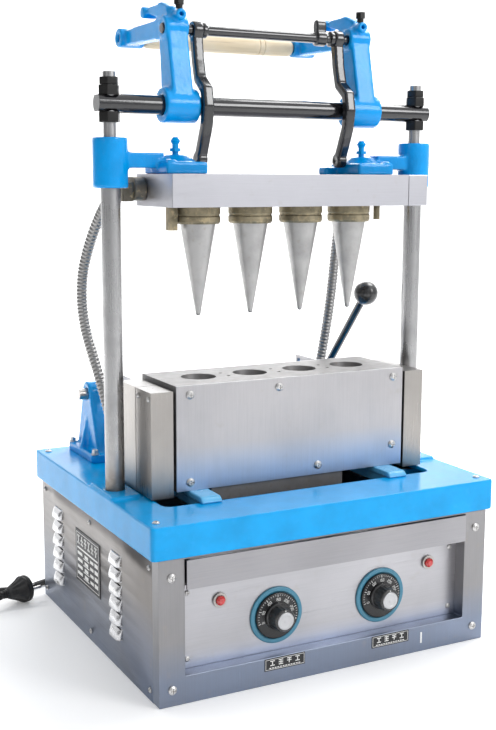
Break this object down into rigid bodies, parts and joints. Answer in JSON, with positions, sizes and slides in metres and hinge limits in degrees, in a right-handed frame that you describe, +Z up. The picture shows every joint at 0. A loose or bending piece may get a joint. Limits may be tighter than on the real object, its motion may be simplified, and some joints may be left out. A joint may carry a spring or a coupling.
{
  "type": "waffle cone maker",
  "caption": "Bench-top press that bakes rolled-style wafer cones between heated cores and a split mould, lowered by an overhead lever.",
  "frame": {"origin": "on the floor under the middle of the machine", "axes": "+X to the operator's right, +Y to the back of the machine, +Z up; the control panel faces -Y"},
  "size_m": [0.6264, 0.602, 0.8473],
  "materials": {
    "stainless": "brushed sheet, lightly worn",
    "stainless_bright": "bright brushed sheet with protective polish",
    "blue_enamel": "glossy thick enamel over casting, with runs and orange peel",
    "black_enamel": "glossy black enamel",
    "steel_polished": "polished steel rod",
    "zinc_screw": "zinc-plated fasteners",
    "black_steel": "oxidised black steel nuts",
    "cast_iron_grey": "machined grey iron",
    "cast_aluminium": "satin turned and seasoned",
    "bronze": "heat-stained bronze",
    "dial_teal": "glossy teal ring",
    "dial_black": "glossy black phenolic with a printed scale",
    "lamp_red": "translucent red",
    "label_black": null,
    "wood_pale": "turned pale wood, waxed",
    "knob_black": "glossy phenolic",
    "conduit_grey": "corrugated armoured conduit",
    "rubber_black": "matt rubber",
    "ceramic": "off-white insulator",
    "plug_black": "moulded rubber plug with nickel-plated pins"
  },
  "bodies": {
    "base": {"front_frame": "stainless", "side_panel_left": "stainless", "side_panel_right": "stainless", "back_panel": "stainless", "base_pan": "stainless", "top_plate": "blue_enamel", "control_panel": "stainless_bright", "cabinet_screws": "zinc_screw", "dial_bezels": "dial_teal", "lamp_bezels": "zinc_screw", "lamp_lenses": "lamp_red", "thermostats": "ceramic", "terminal_block": "ceramic", "front_labels": "label_black", "nameplate": "label_black", "columns": "steel_polished", "crossbar": "black_enamel", "column_nuts": "black_steel", "mould_rails": "blue_enamel", "shaft_pedestals": "blue_enamel", "conduit_left": "conduit_grey", "conduit_right": "conduit_grey", "cable_gland": "rubber_black", "mains_lead_in": "rubber_black", "mains_lead_out": "rubber_black", "mains_coil": "rubber_black", "plug": "plug_black"},
    "head": {"head_block": "cast_iron_grey", "head_cover": "stainless_bright", "terminal_cover": "stainless_bright", "cone_cores": "cast_aluminium", "core_collars": "bronze", "stop_pins": "bronze", "head_heaters": "steel_polished", "wire_box": "black_steel", "head_brackets": "blue_enamel", "guide_bushes": "bronze", "oilers": "blue_enamel"},
    "lever": {"lever_arms": "blue_enamel", "arm_bolts": "black_enamel", "top_rod": "black_enamel", "handle_bar": "steel_polished", "wooden_grip": "wood_pale"},
    "links": {"link_bars": "black_enamel"},
    "front_mould": {"mould_front": "cast_iron_grey", "mould_front_cover": "stainless_bright", "mould_front_ends": "stainless_bright", "mould_front_heaters": "steel_polished", "mould_screws": "zinc_screw"},
    "rear_mould": {"mould_rear": "cast_iron_grey", "mould_rear_cover": "stainless_bright", "mould_rear_ends": "stainless_bright", "mould_rear_heaters": "steel_polished"},
    "mould_lever": {"lever_shaft": "steel_polished", "shaft_cranks": "blue_enamel", "ball_lever": "black_enamel", "ball_knob": "knob_black"},
    "tray": {"cone_tray": "stainless"},
    "dial_left": {"dial_left": "dial_black"},
    "dial_right": {"dial_right": "dial_black"}
  },
  "joints": [
    {"name": "press_lever", "type": "hinge", "parent": "base", "child": "lever", "pos_m": [0, -0.045, 0.716], "axis": [1, 0, 0], "range_deg": [0, 170]},
    {"name": "head_slide", "type": "slide", "parent": "base", "child": "head", "axis": [0, 0, -1], "range_m": [0, 0.185], "deforming": ["conduit_left", "conduit_right"]},
    {"name": "link_pivot", "type": "hinge", "parent": "lever", "child": "links", "pos_m": [0, -0.0333, 0.81128], "axis": [1, 0, 0], "range_deg": [-157, 0]},
    {"name": "mould_lever", "type": "hinge", "parent": "base", "child": "mould_lever", "pos_m": [0, 0.162, 0.316], "axis": [-1, 0, 0], "range_deg": [0, 60]},
    {"name": "front_mould_slide", "type": "slide", "parent": "base", "child": "front_mould", "axis": [0, -1, 0], "range_m": [0, 0.026]},
    {"name": "rear_mould_slide", "type": "slide", "parent": "base", "child": "rear_mould", "axis": [0, 1, 0], "range_m": [0, 0.026]},
    {"name": "tray_slide", "type": "slide", "parent": "base", "child": "tray", "axis": [0, -1, 0], "range_m": [0, 0.25]},
    {"name": "dial_left_turn", "type": "hinge", "parent": "base", "child": "dial_left", "pos_m": [-0.073, -0.2, 0.083], "axis": [0, 1, 0], "range_deg": [0, 270]},
    {"name": "dial_right_turn", "type": "hinge", "parent": "base", "child": "dial_right", "pos_m": [0.083, -0.2, 0.083], "axis": [0, 1, 0], "range_deg": [0, 270]}
  ],
  "couplings": [
    {"joint": "head_slide", "follows": "press_lever", "m_per_rad": 0.062345},
    {"joint": "link_pivot", "follows": "press_lever", "ratio": -0.9184},
    {"joint": "front_mould_slide", "follows": "mould_lever", "m_per_rad": 0.024826},
    {"joint": "rear_mould_slide", "follows": "mould_lever", "m_per_rad": 0.024826}
  ]
}
